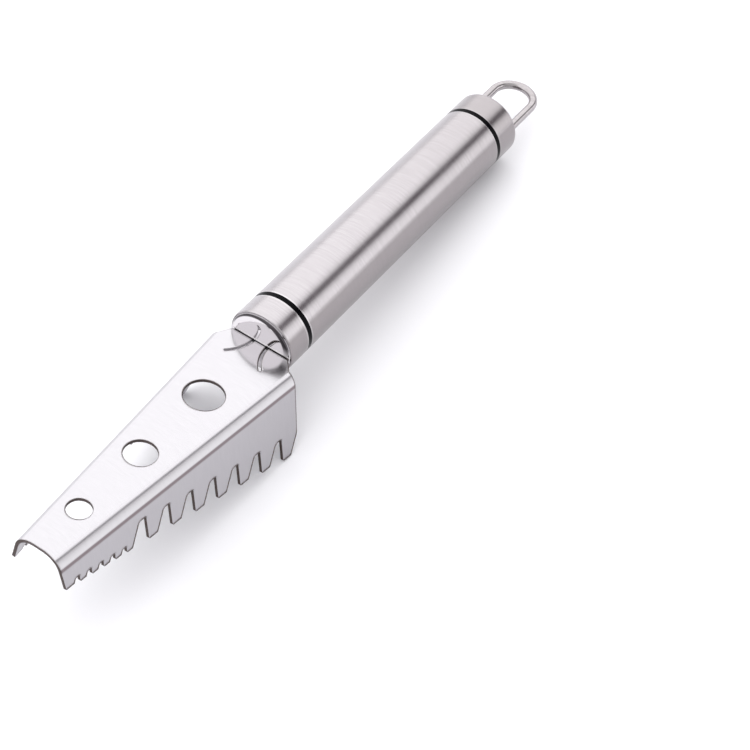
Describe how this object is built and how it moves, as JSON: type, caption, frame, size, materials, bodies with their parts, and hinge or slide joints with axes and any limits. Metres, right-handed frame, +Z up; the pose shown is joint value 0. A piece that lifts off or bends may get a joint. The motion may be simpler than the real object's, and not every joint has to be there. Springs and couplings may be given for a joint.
{
  "type": "fish scaler",
  "caption": "Fish scaler: a tapering channel blade bent from polished sheet, toothed along both flanges and pierced on top, on a round steel handle with black rings and a wire hanging loop.",
  "frame": {"origin": "on the table under the middle of the object's length and width, as it lies at rest on two rear tooth corners and on the rear cap's rim", "axes": "+X from the hanging loop towards the blade's tip, +Z up, +Y towards the blade's left flange"},
  "size_m": [0.236, 0.0384, 0.0414],
  "materials": {
    "polished_steel": "polished nearly to a mirror",
    "brushed_steel": "fine grain round the handle, half bright",
    "bright_wire": "bright polished wire",
    "black_plastic": "glossy black"
  },
  "bodies": {
    "root": {"blade": "polished_steel", "front_cap": "brushed_steel", "front_plug": "black_plastic", "handle_tube": "brushed_steel", "rear_plug": "black_plastic", "rear_cap": "brushed_steel", "hanging_loop": "bright_wire"}
  },
  "joints": []
}
